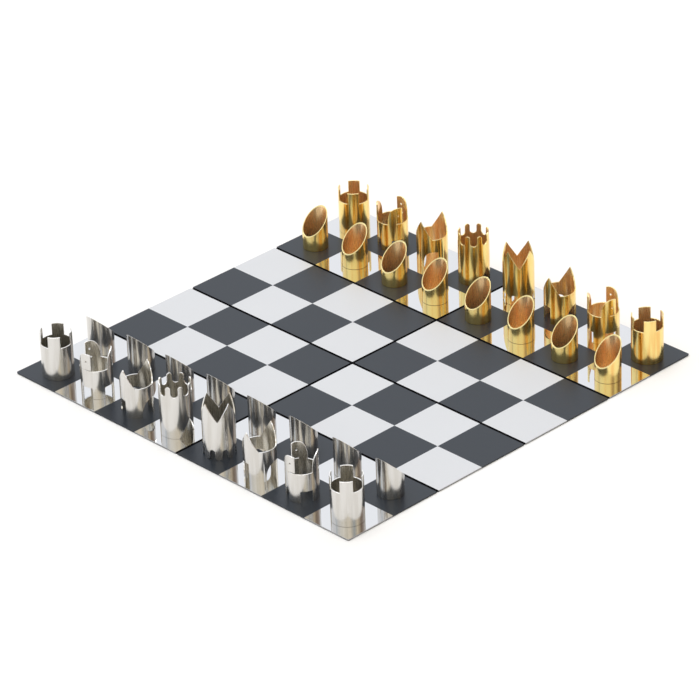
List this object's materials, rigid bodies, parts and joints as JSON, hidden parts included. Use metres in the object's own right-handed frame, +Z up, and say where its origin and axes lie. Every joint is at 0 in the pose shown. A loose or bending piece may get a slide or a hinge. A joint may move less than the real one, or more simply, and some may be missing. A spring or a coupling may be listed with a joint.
{
  "type": "chess set with board",
  "caption": "Chess set of cut metal tubes, silver against gold, set up on a polished board of loose two-layer panels with dark squares.",
  "frame": {"origin": "on the table, under the middle of the board", "axes": "+Z up; +X along the ranks from the a file to the h file; +Y from the silver side to the gold side"},
  "size_m": [0.3614, 0.3644, 0.0472],
  "materials": {
    "plate": "mirror polished, with satin dark grey squares coated on it",
    "backing": "matte black",
    "silver_tube": "polished, fine drawn grain along the tube",
    "gold_tube": "polished gold tone, fine drawn grain along the tube"
  },
  "bodies": {
    "panel_1_left": {"panel_1_left_backing": "backing", "panel_1_left_plate": "plate"},
    "panel_1_right": {"panel_1_right_backing": "backing", "panel_1_right_plate": "plate"},
    "panel_2_left": {"panel_2_left_backing": "backing", "panel_2_left_plate": "plate"},
    "panel_2_right": {"panel_2_right_backing": "backing", "panel_2_right_plate": "plate"},
    "panel_3_left": {"panel_3_left_backing": "backing", "panel_3_left_plate": "plate"},
    "panel_3_right": {"panel_3_right_backing": "backing", "panel_3_right_plate": "plate"},
    "panel_4_left": {"panel_4_left_backing": "backing", "panel_4_left_plate": "plate"},
    "panel_4_right": {"panel_4_right_backing": "backing", "panel_4_right_plate": "plate"},
    "silver_rook_left": {"silver_rook_left": "silver_tube"},
    "silver_knight_left": {"silver_knight_left": "silver_tube"},
    "silver_bishop_left": {"silver_bishop_left": "silver_tube"},
    "silver_queen": {"silver_queen": "silver_tube"},
    "silver_king": {"silver_king": "silver_tube"},
    "silver_bishop_right": {"silver_bishop_right": "silver_tube"},
    "silver_knight_right": {"silver_knight_right": "silver_tube"},
    "silver_rook_right": {"silver_rook_right": "silver_tube"},
    "silver_pawn_1": {"silver_pawn_1": "silver_tube"},
    "silver_pawn_2": {"silver_pawn_2": "silver_tube"},
    "silver_pawn_3": {"silver_pawn_3": "silver_tube"},
    "silver_pawn_4": {"silver_pawn_4": "silver_tube"},
    "silver_pawn_5": {"silver_pawn_5": "silver_tube"},
    "silver_pawn_6": {"silver_pawn_6": "silver_tube"},
    "silver_pawn_7": {"silver_pawn_7": "silver_tube"},
    "silver_pawn_8": {"silver_pawn_8": "silver_tube"},
    "gold_rook_left": {"gold_rook_left": "gold_tube"},
    "gold_knight_left": {"gold_knight_left": "gold_tube"},
    "gold_bishop_left": {"gold_bishop_left": "gold_tube"},
    "gold_queen": {"gold_queen": "gold_tube"},
    "gold_king": {"gold_king": "gold_tube"},
    "gold_bishop_right": {"gold_bishop_right": "gold_tube"},
    "gold_knight_right": {"gold_knight_right": "gold_tube"},
    "gold_rook_right": {"gold_rook_right": "gold_tube"},
    "gold_pawn_1": {"gold_pawn_1": "gold_tube"},
    "gold_pawn_2": {"gold_pawn_2": "gold_tube"},
    "gold_pawn_3": {"gold_pawn_3": "gold_tube"},
    "gold_pawn_4": {"gold_pawn_4": "gold_tube"},
    "gold_pawn_5": {"gold_pawn_5": "gold_tube"},
    "gold_pawn_6": {"gold_pawn_6": "gold_tube"},
    "gold_pawn_7": {"gold_pawn_7": "gold_tube"},
    "gold_pawn_8": {"gold_pawn_8": "gold_tube"}
  },
  "joints": [
    {"name": "pull_panel_3_left", "type": "slide", "parent": "panel_2_left", "child": "panel_3_left", "axis": [0, 1, 0], "range_m": [0, 0.04]},
    {"name": "pull_panel_4_left", "type": "slide", "parent": "panel_3_left", "child": "panel_4_left", "axis": [0, 1, 0], "range_m": [0, 0.04]},
    {"name": "pull_panel_1_left", "type": "slide", "parent": "panel_2_left", "child": "panel_1_left", "axis": [0, -1, 0], "range_m": [0, 0.04]},
    {"name": "pull_panel_1_right", "type": "slide", "parent": "panel_1_left", "child": "panel_1_right", "axis": [1, 0, 0], "range_m": [0, 0.04]},
    {"name": "pull_panel_2_right", "type": "slide", "parent": "panel_2_left", "child": "panel_2_right", "axis": [1, 0, 0], "range_m": [0, 0.04]},
    {"name": "pull_panel_3_right", "type": "slide", "parent": "panel_3_left", "child": "panel_3_right", "axis": [1, 0, 0], "range_m": [0, 0.04]},
    {"name": "pull_panel_4_right", "type": "slide", "parent": "panel_4_left", "child": "panel_4_right", "axis": [1, 0, 0], "range_m": [0, 0.04]},
    {"name": "lift_silver_rook_left", "type": "slide", "parent": "panel_1_left", "child": "silver_rook_left", "axis": [0, 0, 1], "range_m": [0, 0.06]},
    {"name": "lift_silver_knight_left", "type": "slide", "parent": "panel_1_left", "child": "silver_knight_left", "axis": [0, 0, 1], "range_m": [0, 0.06]},
    {"name": "lift_silver_bishop_left", "type": "slide", "parent": "panel_1_left", "child": "silver_bishop_left", "axis": [0, 0, 1], "range_m": [0, 0.06]},
    {"name": "lift_silver_queen", "type": "slide", "parent": "panel_1_left", "child": "silver_queen", "axis": [0, 0, 1], "range_m": [0, 0.06]},
    {"name": "lift_silver_king", "type": "slide", "parent": "panel_1_right", "child": "silver_king", "axis": [0, 0, 1], "range_m": [0, 0.06]},
    {"name": "lift_silver_bishop_right", "type": "slide", "parent": "panel_1_right", "child": "silver_bishop_right", "axis": [0, 0, 1], "range_m": [0, 0.06]},
    {"name": "lift_silver_knight_right", "type": "slide", "parent": "panel_1_right", "child": "silver_knight_right", "axis": [0, 0, 1], "range_m": [0, 0.06]},
    {"name": "lift_silver_rook_right", "type": "slide", "parent": "panel_1_right", "child": "silver_rook_right", "axis": [0, 0, 1], "range_m": [0, 0.06]},
    {"name": "lift_silver_pawn_1", "type": "slide", "parent": "panel_1_left", "child": "silver_pawn_1", "axis": [0, 0, 1], "range_m": [0, 0.06]},
    {"name": "lift_silver_pawn_2", "type": "slide", "parent": "panel_1_left", "child": "silver_pawn_2", "axis": [0, 0, 1], "range_m": [0, 0.06]},
    {"name": "lift_silver_pawn_3", "type": "slide", "parent": "panel_1_left", "child": "silver_pawn_3", "axis": [0, 0, 1], "range_m": [0, 0.06]},
    {"name": "lift_silver_pawn_4", "type": "slide", "parent": "panel_1_left", "child": "silver_pawn_4", "axis": [0, 0, 1], "range_m": [0, 0.06]},
    {"name": "lift_silver_pawn_5", "type": "slide", "parent": "panel_1_right", "child": "silver_pawn_5", "axis": [0, 0, 1], "range_m": [0, 0.06]},
    {"name": "lift_silver_pawn_6", "type": "slide", "parent": "panel_1_right", "child": "silver_pawn_6", "axis": [0, 0, 1], "range_m": [0, 0.06]},
    {"name": "lift_silver_pawn_7", "type": "slide", "parent": "panel_1_right", "child": "silver_pawn_7", "axis": [0, 0, 1], "range_m": [0, 0.06]},
    {"name": "lift_silver_pawn_8", "type": "slide", "parent": "panel_1_right", "child": "silver_pawn_8", "axis": [0, 0, 1], "range_m": [0, 0.06]},
    {"name": "lift_gold_rook_left", "type": "slide", "parent": "panel_4_left", "child": "gold_rook_left", "axis": [0, 0, 1], "range_m": [0, 0.06]},
    {"name": "lift_gold_knight_left", "type": "slide", "parent": "panel_4_left", "child": "gold_knight_left", "axis": [0, 0, 1], "range_m": [0, 0.06]},
    {"name": "lift_gold_bishop_left", "type": "slide", "parent": "panel_4_left", "child": "gold_bishop_left", "axis": [0, 0, 1], "range_m": [0, 0.06]},
    {"name": "lift_gold_queen", "type": "slide", "parent": "panel_4_left", "child": "gold_queen", "axis": [0, 0, 1], "range_m": [0, 0.06]},
    {"name": "lift_gold_king", "type": "slide", "parent": "panel_4_right", "child": "gold_king", "axis": [0, 0, 1], "range_m": [0, 0.06]},
    {"name": "lift_gold_bishop_right", "type": "slide", "parent": "panel_4_right", "child": "gold_bishop_right", "axis": [0, 0, 1], "range_m": [0, 0.06]},
    {"name": "lift_gold_knight_right", "type": "slide", "parent": "panel_4_right", "child": "gold_knight_right", "axis": [0, 0, 1], "range_m": [0, 0.06]},
    {"name": "lift_gold_rook_right", "type": "slide", "parent": "panel_4_right", "child": "gold_rook_right", "axis": [0, 0, 1], "range_m": [0, 0.06]},
    {"name": "lift_gold_pawn_1", "type": "slide", "parent": "panel_4_left", "child": "gold_pawn_1", "axis": [0, 0, 1], "range_m": [0, 0.06]},
    {"name": "lift_gold_pawn_2", "type": "slide", "parent": "panel_4_left", "child": "gold_pawn_2", "axis": [0, 0, 1], "range_m": [0, 0.06]},
    {"name": "lift_gold_pawn_3", "type": "slide", "parent": "panel_4_left", "child": "gold_pawn_3", "axis": [0, 0, 1], "range_m": [0, 0.06]},
    {"name": "lift_gold_pawn_4", "type": "slide", "parent": "panel_4_left", "child": "gold_pawn_4", "axis": [0, 0, 1], "range_m": [0, 0.06]},
    {"name": "lift_gold_pawn_5", "type": "slide", "parent": "panel_4_right", "child": "gold_pawn_5", "axis": [0, 0, 1], "range_m": [0, 0.06]},
    {"name": "lift_gold_pawn_6", "type": "slide", "parent": "panel_4_right", "child": "gold_pawn_6", "axis": [0, 0, 1], "range_m": [0, 0.06]},
    {"name": "lift_gold_pawn_7", "type": "slide", "parent": "panel_4_right", "child": "gold_pawn_7", "axis": [0, 0, 1], "range_m": [0, 0.06]},
    {"name": "lift_gold_pawn_8", "type": "slide", "parent": "panel_4_right", "child": "gold_pawn_8", "axis": [0, 0, 1], "range_m": [0, 0.06]}
  ]
}
